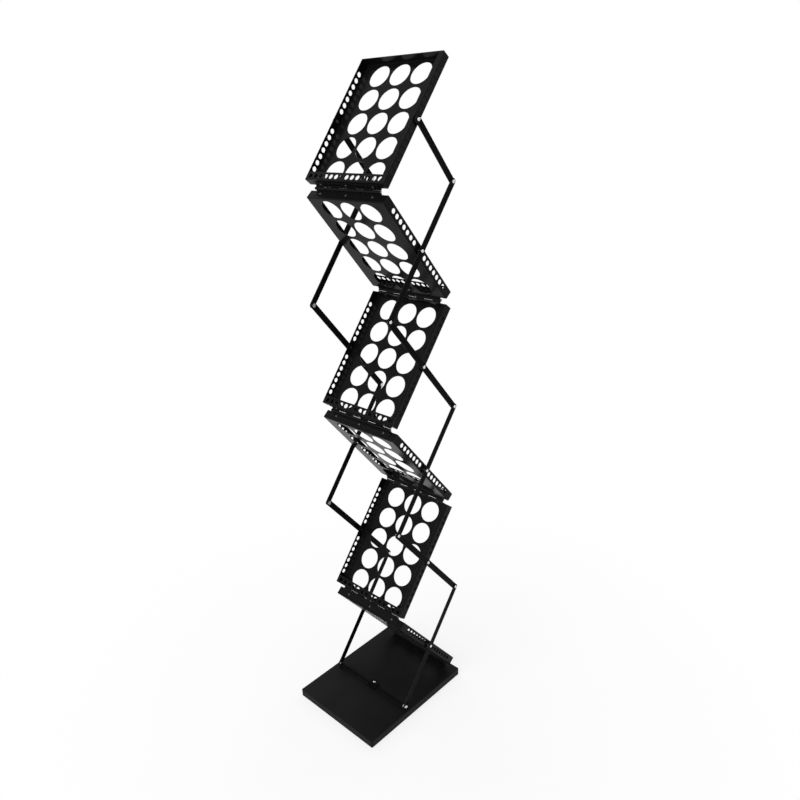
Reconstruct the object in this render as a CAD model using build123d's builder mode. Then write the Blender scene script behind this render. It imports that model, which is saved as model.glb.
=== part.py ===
"""Folding literature stand.

Six perforated sheet-steel trays are hinged end to end in a zigzag. A flat link bar crosses each tray on
both sides at the middle of its side wall, and the bars are joined end to end too, so that trays and bars
make lazy tongs that fold flat on the base board. Millimetres, +Z up, front towards -Y, origin at the
middle of the base board's underside. Trays are numbered from the top.
"""
import os
from math import asin, atan2, cos, degrees, hypot, radians, sin

from build123d import *

# Driving dimensions: the stand as it stands open
levels = 6
open_angle = 50.75  # tray panel above the horizontal
tray_width = 232.0
tray_length = 304.5
tray_depth = 21.0
sheet = 1.2
link_length = 336.0  # between the joint centres of a full link bar

# Tray details
bend_radius = 2.0
hole_diameter = 52.5
hole_pitch = 59.4
hole_columns = 3
hole_rows = 5
small_hole_diameter = 11.0
small_hole_pitch = 15.84
small_holes_each_way = 7
first_small_hole = 24.7  # from the middle of a side wall
lip_width = 19.5
lip_end_gap = 0.6
side_lip_width = 11.0
lip_holes = 14

# Hinges
hinge_length = 195.2
knuckles = 8
knuckle_gap = 0.3
barrel_radius = 3.1
hinge_pin_radius = 1.5
leaf_thickness = 1.2
leaf_width = 13.0
pin_reach = 6.9  # from an end wall's outer face to the pin
pin_drop = 1.0  # from the panel's outer face, or the walls' edge, to the pin
leaf_gap = 0.2  # between the two leaves of a folded hinge
knuckle_clearance = 0.5  # between a leaf's edge and the other leaf's knuckles
rivet_spacing = 78.0
rivet_radius = 1.5
rivet_head_height = 1.2
rivet_tail_height = 0.6
low_rivet_height = 5.4
top_rivet_height = 8.4

# Link bars, their pivots and joints
head_rounding = 0.75  # of a head's height
bar_width = 15.0
bar_thickness = 2.0
shank_radius = 3.0
running_clearance = 0.05
side_play = 0.1
layer_gap = 0.3
inner_shoulder = 3.1  # gap that the shoulder keeps between a side wall and an inner bar
shoulder_radius = 5.0
pivot_tail_radius = 4.0
pivot_tail_height = 1.2
pivot_head_radius = 3.9
pivot_head_height = 2.4
screw_head_radius = 3.9
screw_head_height = 2.4
nut_flats = 9.0
nut_height = 2.5

# Base
base_thickness = 19.6
base_side_margin = 18.5  # board beyond a tray's side
base_end_margin = 6.25  # board beyond the joint centres of a folded link bar
base_corner_radius = 3.0
base_edge_radius = 0.8
rear_pin_inset = 13.0
foot_clearance = 0.3  # between the board and the lowest bars' round ends
base_screw_radius = 1.75
base_screw_length = 12.0
base_screw_head_radius = 3.4
base_screw_head_height = 1.8
rod_nut_height = 3.0
rod_cap_radius = 3.6
rod_cap_height = 2.4
rod_chamfer = 0.5
catch_width = 26.0
catch_plate = 1.0
catch_height = 6.0
catch_front = 9.0  # from the rod's centre to the catch's front edge
catch_back = 17.0
catch_screw_back = 10.5
catch_corner_radius = 4.0
rod_clearance = 0.4

# Worked out
base_width = tray_width + 2 * base_side_margin
base_depth = link_length + 2 * base_end_margin
pin_span = hypot(tray_length + 2 * pin_reach, tray_depth + 2 * pin_drop)
pin_slope = radians(open_angle) + atan2(tray_depth + 2 * pin_drop, tray_length + 2 * pin_reach)
rise = pin_span * sin(pin_slope)
run = pin_span * cos(pin_slope)
link_slope = asin(rise / link_length)
rear_pin_y = base_depth / 2 - rear_pin_inset
pin_height = bar_width / 2 + foot_clearance
lowest_pin_z = base_thickness + pin_height
middle_y = rear_pin_y - run / 2
joint_out = link_length / 2 * cos(link_slope)
wall_x = tray_width / 2
side_lip_low = lip_width + lip_end_gap
side_lip_top = tray_length - sheet - lip_end_gap
inner_bar_x = wall_x + inner_shoulder + side_play
outer_bar_x = inner_bar_x + bar_thickness + layer_gap
knuckle_pitch = hinge_length / knuckles
rod_radius = shank_radius
leaf_screw_y = rear_pin_y - pin_drop - top_rivet_height
rivet_offsets = (-rivet_spacing, 0, rivet_spacing)


def faces_front(n):
    """True for a tray that leans back with its open side towards the front."""
    return (levels - n) % 2 == 1


def low_pin(n):
    """Height and depth of the hinge pin at the lower end of tray n."""
    y = rear_pin_y - run if faces_front(n) else rear_pin_y
    return y, lowest_pin_z + (levels - n) * rise


def pivot(n):
    """Centre of tray n, where the link bars of its level turn."""
    return middle_y, low_pin(n)[1] + rise / 2


def tray_frame(n):
    """Plane on the panel's outer face: X across, Y up the tray from its lower edge, Z to the open side."""
    turn = radians(open_angle)
    forward = 1 if faces_front(n) else -1
    up_tray = Vector(0, forward * cos(turn), sin(turn))
    outward = Vector(0, -forward * sin(turn), cos(turn))
    y, z = low_pin(n)
    corner = Vector(0, y, z) + up_tray * pin_reach + outward * pin_drop
    return Plane(origin=corner, x_dir=(forward, 0, 0), z_dir=outward)


def low_corner(n):
    """Plane at a tray's lower end: X into the end wall, Y up the wall, Z along the hinge."""
    frame = tray_frame(n)
    return Plane(origin=frame.origin, x_dir=frame.y_dir, z_dir=frame.x_dir)


def top_corner(n):
    """The same at the upper end, measured down from the walls' edge."""
    frame = tray_frame(n)
    corner = frame.from_local_coords(Vector(0, tray_length, tray_depth))
    return Plane(origin=corner, x_dir=-frame.y_dir, z_dir=frame.x_dir)


def rivet_seat(corner, height, lift):
    """Plane lift above the end wall's face, with X along the hinge and its origin at rivet height."""
    middle = corner.from_local_coords(Vector(-lift, height, 0))
    return Plane(origin=middle, x_dir=corner.z_dir, z_dir=-corner.x_dir)


def across(x, y, z):
    """Plane square to the X axis at a point."""
    return Plane(origin=(x, y, z), x_dir=(0, 1, 0), z_dir=(1, 0, 0))


def save(part, name):
    """Label a piece and write it."""
    part.label = name
    export_step(part, f"parts/{name}.step")


def make_tray(n):
    """One folded sheet: panel, four walls, a retaining lip along the lower end and one up the right side."""
    frame = tray_frame(n)
    up_panel = Axis(frame.origin, frame.z_dir)
    side = Plane(origin=frame.origin, x_dir=frame.y_dir, z_dir=frame.x_dir)
    small_radius = small_hole_diameter / 2
    steps = [first_small_hole + i * small_hole_pitch for i in range(small_holes_each_way)]
    side_holes = [(tray_length / 2 + s * step, tray_depth / 2) for step in steps for s in (-1, 1)]
    with BuildPart() as tray:
        with BuildSketch(frame):
            with Locations((0, tray_length / 2)):
                Rectangle(tray_width, tray_length)
        extrude(amount=tray_depth)
        fillet(tray.faces().sort_by(up_panel)[0].edges(), radius=bend_radius)
        offset(amount=-sheet, openings=tray.faces().sort_by(up_panel)[-1])
        with BuildSketch(frame.offset(tray_depth - sheet)):
            with Locations((0, lip_width / 2)):
                Rectangle(tray_width - 2 * (sheet + lip_end_gap), lip_width)
            with Locations(((tray_width - side_lip_width) / 2, (side_lip_low + side_lip_top) / 2)):
                Rectangle(side_lip_width, side_lip_top - side_lip_low)
        extrude(amount=sheet)
        lip_bend = frame.from_local_coords(Vector(0, 0, tray_depth))
        fillet(tray.edges().sort_by_distance(lip_bend)[0], radius=bend_radius / 2)
        with BuildSketch(frame):
            with Locations((0, tray_length / 2)):
                with GridLocations(hole_pitch, hole_pitch, hole_columns, hole_rows):
                    Circle(hole_diameter / 2)
        extrude(amount=sheet, mode=Mode.SUBTRACT)
        with BuildSketch(frame.offset(tray_depth - sheet)):
            with Locations((0, lip_width / 2)):
                with GridLocations(small_hole_pitch, small_hole_pitch, lip_holes, 1):
                    Circle(small_radius)
        extrude(amount=sheet, mode=Mode.SUBTRACT)
        with BuildSketch(side):
            with Locations(*side_holes):
                Circle(small_radius)
            with Locations((tray_length / 2, tray_depth / 2)):
                Circle(shank_radius)
        extrude(amount=tray_width, both=True, mode=Mode.SUBTRACT)
        with BuildSketch(rivet_seat(low_corner(n), low_rivet_height, 0)):
            with Locations(*[(x, 0) for x in rivet_offsets]):
                Circle(rivet_radius)
        extrude(amount=-sheet, mode=Mode.SUBTRACT)
        if n > 1:
            with BuildSketch(rivet_seat(top_corner(n), top_rivet_height, 0)):
                with Locations(*[(x, 0) for x in rivet_offsets]):
                    Circle(rivet_radius)
            extrude(amount=-sheet, mode=Mode.SUBTRACT)
    save(tray.part, f"tray_{n}")


def make_leaf(corner, reach, first_knuckle, bore, fastener_height, fastener_radius, name):
    """Hinge leaf: a plate on a wall's face, bent out to the pin, with every other knuckle rolled round it."""
    along = corner.z_dir.X
    edge = reach - barrel_radius - knuckle_clearance
    bend = leaf_thickness / 2 + leaf_gap / 2 - pin_drop
    half_knuckle = (knuckle_pitch - knuckle_gap) / 2
    places = [(k + 0.5) * knuckle_pitch - hinge_length / 2 for k in range(first_knuckle, knuckles, 2)]
    with BuildPart() as leaf:
        with BuildSketch(corner):
            with Locations((-leaf_thickness / 2, leaf_width / 2)):
                Rectangle(leaf_thickness, leaf_width)
            with Locations((-edge / 2, bend)):
                Rectangle(edge, leaf_thickness)
        extrude(amount=hinge_length / 2, both=True)
        for place in places:
            with BuildSketch(corner.offset(along * place)):
                with Locations((-reach / 2, bend)):
                    Rectangle(reach, leaf_thickness)
                with Locations((-reach, -pin_drop)):
                    Circle(barrel_radius)
            extrude(amount=half_knuckle, both=True)
        with BuildSketch(corner):
            with Locations((-reach, -pin_drop)):
                Circle(bore)
        extrude(amount=hinge_length, both=True, mode=Mode.SUBTRACT)
        with BuildSketch(rivet_seat(corner, fastener_height, leaf_thickness)):
            with Locations(*[(x, 0) for x in rivet_offsets]):
                Circle(fastener_radius)
        extrude(amount=-leaf_thickness, mode=Mode.SUBTRACT)
    save(leaf.part, name)


def rivet_row(seat, grip):
    """Three rivets: domed heads on the seat, shanks through the grip, flat heads behind it."""
    points = [(x, 0) for x in rivet_offsets]
    head_radius = 2 * rivet_radius
    with BuildPart() as row:
        with BuildSketch(seat.offset(-grip)):
            with Locations(*points):
                Circle(rivet_radius)
        extrude(amount=grip)
        with BuildSketch(seat.offset(-grip)):
            with Locations(*points):
                Circle(head_radius)
        extrude(amount=-rivet_tail_height)
        with BuildSketch(seat):
            with Locations(*points):
                Circle(head_radius)
        extrude(amount=rivet_head_height)
        rims = row.edges().filter_by(GeomType.CIRCLE).group_by(Axis(seat.origin, seat.z_dir))[-1]
        fillet(rims, radius=rivet_head_height * head_rounding)
    return row.part


def make_leaf_rivets(n):
    """The rivets that hold the hinge leaves on tray n."""
    grip = leaf_thickness + sheet
    rows = [rivet_row(rivet_seat(low_corner(n), low_rivet_height, leaf_thickness), grip)]
    if n > 1:
        rows.append(rivet_row(rivet_seat(top_corner(n), top_rivet_height, leaf_thickness), grip))
    with BuildPart() as rivets:
        for row in rows:
            add(row)
    save(rivets.part, f"leaf_rivets_{n}")


def make_hinge_pin(y, z, name):
    """A plain pin as long as its hinge."""
    with BuildPart() as pin:
        with BuildSketch(across(-hinge_length / 2, y, z)):
            Circle(hinge_pin_radius)
        extrude(amount=hinge_length)
    save(pin.part, name)


def bar_start(n):
    """Inner face of the link bars of level n: those of the trays facing front lie inside the others."""
    return inner_bar_x if faces_front(n) else outer_bar_x


def make_pivot_rivets(n):
    """Shouldered rivets through both side walls, on which the bars of level n turn."""
    y, z = pivot(n)
    bar_x = bar_start(n)
    journal_end = bar_x + bar_thickness + side_play
    stages = [
        (wall_x - sheet - pivot_tail_height, wall_x - sheet, pivot_tail_radius),
        (wall_x - sheet, wall_x, shank_radius),
        (wall_x, bar_x - side_play, shoulder_radius),
        (bar_x - side_play, journal_end, shank_radius),
        (journal_end, journal_end + pivot_head_height, pivot_head_radius),
    ]
    with BuildPart() as rivets:
        for start, end, radius in stages:
            with BuildSketch(across(start, y, z)):
                Circle(radius)
            extrude(amount=end - start)
        rim = rivets.edges().filter_by(GeomType.CIRCLE).group_by(Axis.X)[-1]
        fillet(rim, radius=pivot_head_height * head_rounding)
        mirror(about=Plane.YZ)
    save(rivets.part, f"pivot_rivets_{n}")


def bar_ends(n):
    """Lower and upper end of the bars of level n. The top level's bars end at their pivot."""
    y, z = pivot(n)
    backward = 1 if faces_front(n) else -1
    lower = (y + backward * joint_out, z - rise / 2)
    upper = (y, z) if n == 1 else (y - backward * joint_out, z + rise / 2)
    return lower, upper


def make_link_bar(n, side):
    """Flat bar with round ends, bored for its pivot and its joints."""
    (y0, z0), (y1, z1) = bar_ends(n)
    start = bar_start(n) if side > 0 else -bar_start(n) - bar_thickness
    length = hypot(y1 - y0, z1 - z0)
    middle = (start, (y0 + y1) / 2, (z0 + z1) / 2)
    plane = Plane(origin=middle, x_dir=(0, y1 - y0, z1 - z0), z_dir=(1, 0, 0))
    journal = length / 2 if n == 1 else 0
    joints = [-length / 2] if n == 1 else [-length / 2, length / 2]
    with BuildPart() as bar:
        with BuildSketch(plane):
            SlotCenterToCenter(length, bar_width)
            with Locations((journal, 0)):
                Circle(shank_radius + running_clearance, mode=Mode.SUBTRACT)
            with Locations(*[(place, 0) for place in joints]):
                Circle(shank_radius, mode=Mode.SUBTRACT)
        extrude(amount=bar_thickness)
    save(bar.part, f"link_{'right' if side > 0 else 'left'}_{n}")


def joint_points(n):
    """Ends of level n's bars that meet another level's bars."""
    lower, upper = bar_ends(n)
    points = [lower] if n < levels else []
    if n > 1:
        points.append(upper)
    return points


def make_joint_screws(n):
    """Domed screws at the ends of the outer bars of level n."""
    with BuildPart() as screws:
        for y, z in joint_points(n):
            with BuildSketch(across(outer_bar_x, y, z)):
                Circle(shank_radius)
            extrude(amount=bar_thickness)
            with BuildSketch(across(outer_bar_x + bar_thickness, y, z)):
                Circle(screw_head_radius)
            extrude(amount=screw_head_height)
        rims = screws.edges().filter_by(GeomType.CIRCLE).group_by(Axis.X)[-1]
        fillet(rims, radius=screw_head_height * head_rounding)
        mirror(about=Plane.YZ)
    save(screws.part, f"joint_screws_{n}")


def make_joint_nuts(n):
    """Hexagon nuts with a sleeve at the ends of the inner bars of level n."""
    with BuildPart() as nuts:
        for y, z in joint_points(n):
            with BuildSketch(across(inner_bar_x - nut_height, y, z)):
                RegularPolygon(nut_flats / 2, 6, major_radius=False)
            extrude(amount=nut_height)
            with BuildSketch(across(inner_bar_x, y, z)):
                Circle(shank_radius)
            extrude(amount=bar_thickness)
        mirror(about=Plane.YZ)
    save(nuts.part, f"joint_nuts_{n}")


def make_base_board(rod_y):
    """Flat board with softened edges and pilot holes for its screws."""
    with BuildPart() as board:
        with BuildSketch():
            RectangleRounded(base_width, base_depth, base_corner_radius)
        extrude(amount=base_thickness)
        fillet(board.faces().sort_by(Axis.Z)[-1].edges(), radius=base_edge_radius)
        with BuildSketch(Plane.XY.offset(base_thickness)):
            with Locations(*[(x, leaf_screw_y) for x in rivet_offsets]):
                Circle(base_screw_radius)
        extrude(amount=leaf_thickness - base_screw_length, mode=Mode.SUBTRACT)
        with BuildSketch(Plane.XY.offset(base_thickness)):
            with Locations((0, rod_y + catch_screw_back)):
                Circle(base_screw_radius)
        extrude(amount=catch_height - base_screw_length, mode=Mode.SUBTRACT)
    save(board.part, "base_board")


def make_base_screws(points, seat_z, name):
    """Pan-head screws down into the board."""
    with BuildPart() as screws:
        with BuildSketch(Plane.XY.offset(seat_z - base_screw_length)):
            with Locations(*points):
                Circle(base_screw_radius)
        extrude(amount=base_screw_length)
        with BuildSketch(Plane.XY.offset(seat_z)):
            with Locations(*points):
                Circle(base_screw_head_radius)
        extrude(amount=base_screw_head_height)
        rims = screws.edges().filter_by(GeomType.CIRCLE).group_by(Axis.Z)[-1]
        fillet(rims, radius=base_screw_head_height * head_rounding)
    save(screws.part, name)


def make_cross_rod(y, z):
    """Rod that joins the lower ends of the lowest bars."""
    reach = outer_bar_x + bar_thickness + rod_nut_height
    with BuildPart() as rod:
        with BuildSketch(across(-reach, y, z)):
            Circle(rod_radius)
        extrude(amount=2 * reach)
        chamfer(rod.edges(), length=rod_chamfer)
    save(rod.part, "cross_rod")


def make_rod_nuts(y, z):
    """A nut inside each bar, and a cap nut over the rod's end outside it."""
    rod_end = outer_bar_x + bar_thickness + rod_nut_height
    with BuildPart() as nuts:
        for start in (outer_bar_x - rod_nut_height, outer_bar_x + bar_thickness):
            with BuildSketch(across(start, y, z)):
                RegularPolygon(nut_flats / 2, 6, major_radius=False)
                Circle(rod_radius, mode=Mode.SUBTRACT)
            extrude(amount=rod_nut_height)
        with BuildSketch(across(rod_end, y, z)):
            Circle(rod_cap_radius)
        extrude(amount=rod_cap_height)
        rim = nuts.edges().filter_by(GeomType.CIRCLE).group_by(Axis.X)[-1]
        fillet(rim, radius=rod_cap_height * head_rounding)
        mirror(about=Plane.YZ)
    save(nuts.part, "rod_nuts")


def make_catch(rod_y, rod_z):
    """Low cradle behind the rod, on a plate that runs under it."""
    plane = across(-catch_width / 2, rod_y, base_thickness)
    with BuildPart() as catch:
        with BuildSketch(plane):
            with Locations(((catch_back - catch_front) / 2, catch_plate / 2)):
                Rectangle(catch_front + catch_back, catch_plate)
            with Locations((catch_back / 2, catch_height / 2)):
                Rectangle(catch_back, catch_height)
            with Locations((0, rod_z - base_thickness)):
                Circle(rod_radius + rod_clearance, mode=Mode.SUBTRACT)
            with Locations((-base_depth / 2, catch_plate + base_depth / 2)):
                Rectangle(base_depth, base_depth, mode=Mode.SUBTRACT)
        extrude(amount=catch_width)
        fillet(catch.edges().filter_by(Axis.Z).sort_by(Axis.Y)[-2:], radius=catch_corner_radius)
        with BuildSketch(Plane.XY.offset(base_thickness)):
            with Locations((0, rod_y + catch_screw_back)):
                Circle(base_screw_radius)
        extrude(amount=catch_height, mode=Mode.SUBTRACT)
    save(catch.part, "base_catch")


os.makedirs("parts", exist_ok=True)

tight = hinge_pin_radius
loose = hinge_pin_radius + running_clearance
for level in range(1, levels + 1):
    make_tray(level)
    make_leaf_rivets(level)
    make_pivot_rivets(level)
    low, top = low_corner(level), top_corner(level)
    make_leaf(low, pin_reach, 0, tight, low_rivet_height, rivet_radius, f"leaf_low_{level}")
    make_hinge_pin(*low_pin(level), f"hinge_pin_{level}")
    if level > 1:
        make_leaf(top, pin_reach, 1, loose, top_rivet_height, rivet_radius, f"leaf_top_{level}")
    for hand in (-1, 1):
        make_link_bar(level, hand)
    if faces_front(level):
        make_joint_nuts(level)
    else:
        make_joint_screws(level)

foot_y, foot_z = bar_ends(levels)[0]
base_corner = Plane(origin=(0, rear_pin_y - pin_drop, base_thickness), x_dir=(0, 0, -1), z_dir=(-1, 0, 0))
make_leaf(base_corner, pin_height, 1, loose, top_rivet_height, base_screw_radius, "leaf_base")
make_base_board(foot_y)
make_base_screws([(x, leaf_screw_y) for x in rivet_offsets], base_thickness + leaf_thickness, "leaf_screws")
make_base_screws([(0, foot_y + catch_screw_back)], base_thickness + catch_height, "catch_screw")
make_cross_rod(foot_y, foot_z)
make_rod_nuts(foot_y, foot_z)
make_catch(foot_y, foot_z)
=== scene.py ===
"""Folding literature stand: materials, light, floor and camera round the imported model."""
import math

import bpy
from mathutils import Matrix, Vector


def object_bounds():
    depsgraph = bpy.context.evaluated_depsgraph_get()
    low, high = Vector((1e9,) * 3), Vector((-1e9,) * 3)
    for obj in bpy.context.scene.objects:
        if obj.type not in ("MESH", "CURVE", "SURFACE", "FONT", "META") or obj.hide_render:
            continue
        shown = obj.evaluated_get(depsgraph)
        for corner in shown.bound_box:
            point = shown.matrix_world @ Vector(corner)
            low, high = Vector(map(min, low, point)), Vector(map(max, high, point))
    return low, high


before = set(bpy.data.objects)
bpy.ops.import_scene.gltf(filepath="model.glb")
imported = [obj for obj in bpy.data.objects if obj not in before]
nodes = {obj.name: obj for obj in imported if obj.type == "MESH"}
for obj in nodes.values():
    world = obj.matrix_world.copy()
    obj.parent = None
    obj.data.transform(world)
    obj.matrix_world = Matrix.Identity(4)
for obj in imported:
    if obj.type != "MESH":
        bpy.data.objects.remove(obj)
cad_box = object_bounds()

# Powder coats. Colours are linear: dark and light mottling, and a lighter colour painted along
# edges as a highlight.
# Roughness goes from shiny to dull patches. Grain is the orange peel's scale per metre. Depth, the
# bump's, and edge_radius, the width of the painted edge highlight, are in metres.
POWDER_COATS = {
    "tray_powder": dict(
        dark=(0.0036, 0.0036, 0.0037), light=(0.0072, 0.0072, 0.0074), edge=(0.095, 0.095, 0.096),
        roughness=(0.18, 0.26), grain=1000.0, depth=0.00002, edge_radius=0.0007, specular=0.05),
    "bar_powder": dict(
        dark=(0.0024, 0.0024, 0.0025), light=(0.0052, 0.0052, 0.0054), edge=(0.110, 0.110, 0.111),
        roughness=(0.18, 0.26), grain=1500.0, depth=0.00002, edge_radius=0.0008, specular=0.02),
    "hinge_paint": dict(
        dark=(0.0046, 0.0046, 0.0050), light=(0.0090, 0.0090, 0.0098), edge=(0.030, 0.030, 0.034),
        roughness=(0.16, 0.24), grain=1800.0, depth=0.00002, edge_radius=0.0005, specular=0.05),
    "rivet_paint": dict(
        dark=(0.020, 0.020, 0.022), light=(0.050, 0.050, 0.053), edge=(0.100, 0.100, 0.104),
        roughness=(0.16, 0.24), grain=2200.0, depth=0.00003, edge_radius=0.0005, specular=0.5),
}
MOTTLE_TO_GRAIN = 0.3  # the mottling's scale to the orange peel's
MOTTLE_STRENGTH = 0.35
MOTTLE_DEPTH = 1.6  # to the orange peel's
PEEL_STRENGTH = 0.6
PATCH_SCALE = 11.0
EDGE_SHINE = 0.6  # an edge's roughness to the shiniest patch's

# Metals: dull and clean colours, and the roughness of clean and dull spots
METALS = {
    "plated_steel": dict(dull=(0.50, 0.50, 0.51), clean=(0.74, 0.74, 0.75), roughness=(0.14, 0.26)),
    "pin_steel": dict(dull=(0.16, 0.16, 0.165), clean=(0.28, 0.28, 0.285), roughness=(0.3, 0.45)),
}
TURNED_SCALE = 2600.0
TURNED_STRETCH = (0.25, 1, 1)
TURNED_BUMP = (0.35, 0.00004)  # strength, and depth in metres
SPOT_SCALE = 420.0

# Base board
BOARD_DARK = (0.0030, 0.0030, 0.0030)
BOARD_LIGHT = (0.0062, 0.0062, 0.0062)
# lighter colour painted along the board's edges as a highlight
BOARD_EDGE_HIGHLIGHT = (0.020, 0.020, 0.020)
BOARD_ROUGHNESS = (0.46, 0.34)  # in the dark clouds and in the light ones
BOARD_EDGE_ROUGHNESS = 0.28
BOARD_EDGE_RADIUS = 0.0016
BOARD_SPECULAR = 0.05
BOARD_GRAIN_SCALE = 60.0
BOARD_GRAIN_STRETCH = (1, 12, 1)
BOARD_CLOUD_SCALE = 8.0
BOARD_PORE_SCALE = 900.0
BOARD_GRAIN_BUMP = (0.12, 0.0002)  # strength, and depth in metres
BOARD_PORE_BUMP = (0.35, 0.00008)

# Material of every CAD node by the start of its name. The first match counts.
NODE_MATERIALS = {
    "tray_": "tray_powder",
    "link_": "bar_powder",
    "cross_rod": "bar_powder",
    "leaf_rivets": "rivet_paint",
    "leaf_": "hinge_paint",
    "base_catch": "hinge_paint",
    "hinge_pin": "pin_steel",
    "base_board": "painted_board",
    "pivot_rivets": "plated_steel",
    "joint_": "plated_steel",
    "rod_nuts": "plated_steel",
    "catch_screw": "plated_steel",
}

# Noise: the stretch of its values that colours and numbers are spread over
NOISE_ROUGHNESS = 0.55
RAMP_RANGE = (0.35, 0.65)
SPREAD_RANGE = (0.3, 0.7)

# Edges: the rounded normal's match with the true one where an edge starts and where it is full
EDGE_SAMPLES = 6
EDGE_STARTS = 0.985
EDGE_FULL = 0.86
# how far noise weakens the painted edge highlight, from its weakest to full
EDGE_HIGHLIGHT_BREAKUP = (0.35, 1.0)

# Studio, in metres and watts
WHITE = (1.0, 1.0, 1.0, 1.0)
FLOOR_GREY = (0.86, 0.86, 0.86, 1)
FLOOR_RADIUS = 9.0
FLOOR_SIDES = 96
FADE_RADII = (0.15, 1.1)
FADE_WHITE = (0.78, 1.0)  # share of plain white at those radii
WORLD_LIGHT = 0.45
LAMPS = {  # place, size and power
    "key_front": ((-0.4, -3.1, 2.8), 1.8, 80),
    "back_left": ((-2.8, 0.8, 2.0), 1.4, 25),
    "back": ((-0.3, 3.4, 2.2), 1.6, 45),
}
CAMERA_PLACE = (1.1561, -1.121, 1.5079)
CAMERA_TURN = (67.726, 3.052, 45.153)  # degrees
CAMERA_SHIFT = (0.0503, 0.0024)
LENS_MM = 33.374
SENSOR_MM = 36.0


def blank_tree(owner, kind):
    """The owner's emptied node tree, with an output node of the kind."""
    owner.use_nodes = True
    owner.node_tree.nodes.clear()
    return owner.node_tree, owner.node_tree.nodes.new(kind)


def new_material(name):
    """An empty node material with its Principled shader."""
    material = bpy.data.materials.new(name)
    tree, output = blank_tree(material, "ShaderNodeOutputMaterial")
    shader = tree.nodes.new("ShaderNodeBsdfPrincipled")
    tree.links.new(shader.outputs["BSDF"], output.inputs["Surface"])
    return material, tree, shader


def noise(tree, scale, detail, stretch=(1, 1, 1)):
    """Noise in object space, in metres."""
    place = tree.nodes.new("ShaderNodeTexCoord")
    mapping = tree.nodes.new("ShaderNodeMapping")
    mapping.inputs["Scale"].default_value = stretch
    texture = tree.nodes.new("ShaderNodeTexNoise")
    texture.inputs["Scale"].default_value = scale
    texture.inputs["Detail"].default_value = detail
    texture.inputs["Roughness"].default_value = NOISE_ROUGHNESS
    tree.links.new(place.outputs["Object"], mapping.inputs["Vector"])
    tree.links.new(mapping.outputs["Vector"], texture.inputs["Vector"])
    return texture.outputs["Fac"]


def ramp(tree, value, low, high):
    """A colour between low and high as the value crosses its middle stretch."""
    node = tree.nodes.new("ShaderNodeValToRGB")
    for element, position, colour in zip(node.color_ramp.elements, RAMP_RANGE, (low, high)):
        element.position = position
        element.color = (*colour, 1)
    tree.links.new(value, node.inputs["Fac"])
    return node.outputs["Color"]


def map_range(tree, value, start, end, low=0.0, high=1.0):
    """A number from low to high as the value goes from start to end."""
    node = tree.nodes.new("ShaderNodeMapRange")
    node.inputs["From Min"].default_value = start
    node.inputs["From Max"].default_value = end
    node.inputs["To Min"].default_value = low
    node.inputs["To Max"].default_value = high
    tree.links.new(value, node.inputs["Value"])
    return node.outputs["Result"]


def combine(tree, operation, first, second):
    """Two numbers joined by a Math node."""
    node = tree.nodes.new("ShaderNodeMath")
    node.operation = operation
    tree.links.new(first, node.inputs[0])
    tree.links.new(second, node.inputs[1])
    return node.outputs["Value"]


def bump(tree, shader, layers):
    """Stacks (height, strength, depth in metres) layers into the shader's normal."""
    normal = None
    for height, strength, depth in layers:
        node = tree.nodes.new("ShaderNodeBump")
        node.inputs["Strength"].default_value = strength
        node.inputs["Distance"].default_value = depth
        tree.links.new(height, node.inputs["Height"])
        if normal is not None:
            tree.links.new(normal, node.inputs["Normal"])
        normal = node.outputs["Normal"]
    tree.links.new(normal, shader.inputs["Normal"])


def edge_mask(tree, radius, breakup):
    """1 along sharp edges and 0 elsewhere, broken up by a noise value; it places the painted edge
    highlight.
    """
    rounded = tree.nodes.new("ShaderNodeBevel")
    rounded.samples = EDGE_SAMPLES
    rounded.inputs["Radius"].default_value = radius
    surface = tree.nodes.new("ShaderNodeNewGeometry")
    match = tree.nodes.new("ShaderNodeVectorMath")
    match.operation = "DOT_PRODUCT"
    tree.links.new(rounded.outputs["Normal"], match.inputs[0])
    tree.links.new(surface.outputs["Normal"], match.inputs[1])
    edge = map_range(tree, match.outputs["Value"], EDGE_STARTS, EDGE_FULL)
    return combine(tree, "MULTIPLY", edge, map_range(tree, breakup, *SPREAD_RANGE, *EDGE_HIGHLIGHT_BREAKUP))


def blend(tree, mask, below, above):
    """Colour that goes from below to above with the mask."""
    node = tree.nodes.new("ShaderNodeMix")
    node.data_type = "RGBA"
    tree.links.new(mask, node.inputs["Factor"])
    tree.links.new(below, node.inputs["A"])
    node.inputs["B"].default_value = (*above, 1)
    return node.outputs["Result"]


def toward(tree, mask, value, target):
    """Value that goes to the target with the mask."""
    node = tree.nodes.new("ShaderNodeMix")
    tree.links.new(mask, node.inputs["Factor"])
    tree.links.new(value, node.inputs["A"])
    node.inputs["B"].default_value = target
    return node.outputs["Result"]


def powder_coat(name, dark, light, edge, roughness, grain, depth, edge_radius, specular):
    """Baked paint: orange peel, mottling, duller patches, and along edges smoother roughness and a
    painted highlight.
    """
    material, tree, shader = new_material(name)
    shader.inputs["Specular IOR Level"].default_value = specular
    mottle = noise(tree, grain * MOTTLE_TO_GRAIN, detail=4.0)
    patches = noise(tree, PATCH_SCALE, detail=3.0)
    peel = noise(tree, grain, detail=2.0)
    mask = edge_mask(tree, edge_radius, mottle)
    # edges get a lighter colour: a painted highlight
    colour = blend(tree, mask, ramp(tree, mottle, dark, light), edge)
    tree.links.new(colour, shader.inputs["Base Color"])
    dull = map_range(tree, patches, *SPREAD_RANGE, *roughness)
    sheen = toward(tree, mask, dull, roughness[0] * EDGE_SHINE)
    tree.links.new(sheen, shader.inputs["Roughness"])
    mottle_layer = (mottle, MOTTLE_STRENGTH, depth * MOTTLE_DEPTH)
    bump(tree, shader, [mottle_layer, (peel, PEEL_STRENGTH, depth)])
    return material


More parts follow.
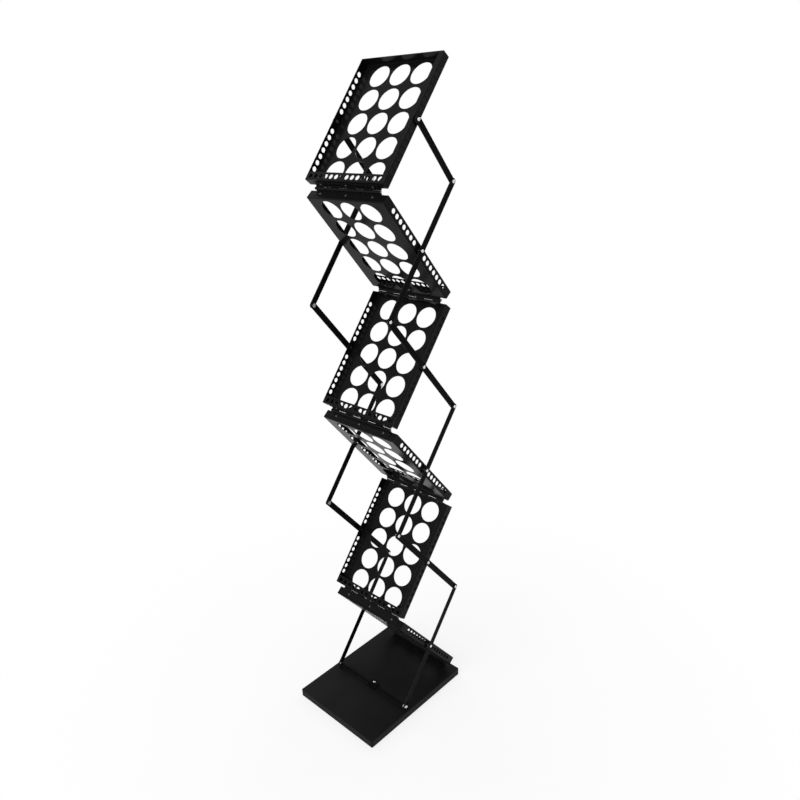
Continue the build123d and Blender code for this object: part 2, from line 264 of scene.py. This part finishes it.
def bright_metal(name, dull, clean, roughness):
    """Plated steel with a light turned grain and dull spots."""
    material, tree, shader = new_material(name)
    shader.inputs["Metallic"].default_value = 1.0
    grain = noise(tree, TURNED_SCALE, detail=2.0, stretch=TURNED_STRETCH)
    spots = noise(tree, SPOT_SCALE, detail=3.0)
    tree.links.new(ramp(tree, spots, dull, clean), shader.inputs["Base Color"])
    sheen = map_range(tree, spots, *SPREAD_RANGE, *reversed(roughness))
    tree.links.new(sheen, shader.inputs["Roughness"])
    bump(tree, shader, [(grain, *TURNED_BUMP)])
    return material


def painted_board(name):
    """Black painted board: faint long grain, soft clouds in the sheen, and along edges smoother
    roughness and a painted highlight.
    """
    material, tree, shader = new_material(name)
    shader.inputs["Specular IOR Level"].default_value = BOARD_SPECULAR
    grain = noise(tree, BOARD_GRAIN_SCALE, detail=5.0, stretch=BOARD_GRAIN_STRETCH)
    cloud = noise(tree, BOARD_CLOUD_SCALE, detail=3.0)
    pores = noise(tree, BOARD_PORE_SCALE, detail=2.0)
    mask = edge_mask(tree, BOARD_EDGE_RADIUS, pores)
    # edges get a lighter colour: a painted highlight
    colour = blend(tree, mask, ramp(tree, cloud, BOARD_DARK, BOARD_LIGHT), BOARD_EDGE_HIGHLIGHT)
    tree.links.new(colour, shader.inputs["Base Color"])
    dull = map_range(tree, cloud, *SPREAD_RANGE, *BOARD_ROUGHNESS)
    sheen = toward(tree, mask, dull, BOARD_EDGE_ROUGHNESS)
    tree.links.new(sheen, shader.inputs["Roughness"])
    bump(tree, shader, [(grain, *BOARD_GRAIN_BUMP), (pores, *BOARD_PORE_BUMP)])
    return material


def paint_nodes():
    """Gives every CAD node the material of its kind."""
    made = {name: powder_coat(name, **values) for name, values in POWDER_COATS.items()}
    made.update({name: bright_metal(name, **values) for name, values in METALS.items()})
    made["painted_board"] = painted_board("painted_board")
    for name, node in nodes.items():
        kind = next(kind for start, kind in NODE_MATERIALS.items() if name.startswith(start))
        node.data.materials.clear()
        node.data.materials.append(made[kind])


def backdrop_rays(tree):
    """1 for rays that meet the white background: seen directly, mirrored or passing through."""
    path = tree.nodes.new("ShaderNodeLightPath")
    total = path.outputs["Is Camera Ray"]
    for kind in ("Is Glossy Ray", "Is Transmission Ray"):
        total = combine(tree, "MAXIMUM", total, path.outputs[kind])
    return total


def make_floor():
    """Pale floor that fades to plain white away from the stand, with a soft shadow close to it."""
    bpy.ops.mesh.primitive_circle_add(
        vertices=FLOOR_SIDES, radius=FLOOR_RADIUS, fill_type="NGON", location=(0, 0, 0))
    floor = bpy.context.object
    floor.name = "studio_floor"
    material = bpy.data.materials.new("studio_floor")
    tree, output = blank_tree(material, "ShaderNodeOutputMaterial")
    diffuse = tree.nodes.new("ShaderNodeBsdfDiffuse")
    diffuse.inputs["Color"].default_value = FLOOR_GREY
    glow = tree.nodes.new("ShaderNodeEmission")
    glow.inputs["Color"].default_value = WHITE
    place = tree.nodes.new("ShaderNodeTexCoord")
    away = tree.nodes.new("ShaderNodeVectorMath")
    away.operation = "LENGTH"
    tree.links.new(place.outputs["Object"], away.inputs[0])
    fade = map_range(tree, away.outputs["Value"], *FADE_RADII, *FADE_WHITE)
    mix = tree.nodes.new("ShaderNodeMixShader")
    tree.links.new(combine(tree, "MULTIPLY", fade, backdrop_rays(tree)), mix.inputs["Fac"])
    tree.links.new(diffuse.outputs["BSDF"], mix.inputs[1])
    tree.links.new(glow.outputs["Emission"], mix.inputs[2])
    tree.links.new(mix.outputs["Shader"], output.inputs["Surface"])
    floor.data.materials.append(material)


def make_world():
    """White to the camera and in reflections, and a soft grey light to everything else."""
    world = bpy.data.worlds.new("studio")
    bpy.context.scene.world = world
    tree, output = blank_tree(world, "ShaderNodeOutputWorld")
    seen = tree.nodes.new("ShaderNodeBackground")
    seen.inputs["Color"].default_value = WHITE
    light = tree.nodes.new("ShaderNodeBackground")
    light.inputs["Color"].default_value = WHITE
    light.inputs["Strength"].default_value = WORLD_LIGHT
    mix = tree.nodes.new("ShaderNodeMixShader")
    tree.links.new(backdrop_rays(tree), mix.inputs["Fac"])
    tree.links.new(light.outputs["Background"], mix.inputs[1])
    tree.links.new(seen.outputs["Background"], mix.inputs[2])
    tree.links.new(mix.outputs["Shader"], output.inputs["Surface"])


def make_lamp(name, place, size, watts, target):
    """Soft square lamp aimed at a point."""
    data = bpy.data.lights.new(name, "AREA")
    data.shape = "SQUARE"
    data.size = size
    data.energy = watts
    lamp = bpy.data.objects.new(name, data)
    bpy.context.scene.collection.objects.link(lamp)
    lamp.location = place
    aim = [t - p for t, p in zip(target, place)]
    flat = math.hypot(aim[0], aim[1])
    lamp.rotation_euler = (math.atan2(flat, -aim[2]), 0, math.atan2(-aim[0], aim[1]))


def make_camera():
    """Right of the stand's front and near its top, looking slightly down."""
    data = bpy.data.cameras.new("camera")
    data.sensor_width = SENSOR_MM
    data.lens = LENS_MM
    data.shift_x, data.shift_y = CAMERA_SHIFT
    camera = bpy.data.objects.new("camera", data)
    bpy.context.scene.collection.objects.link(camera)
    camera.location = CAMERA_PLACE
    camera.rotation_euler = [math.radians(angle) for angle in CAMERA_TURN]
    bpy.context.scene.camera = camera


paint_nodes()
make_floor()
make_world()
middle = [(low + high) / 2 for low, high in zip(*cad_box)]
for lamp_name, (place, size, watts) in LAMPS.items():
    make_lamp(lamp_name, place, size, watts, middle)
make_camera()
bpy.context.scene.view_settings.view_transform = "Standard"
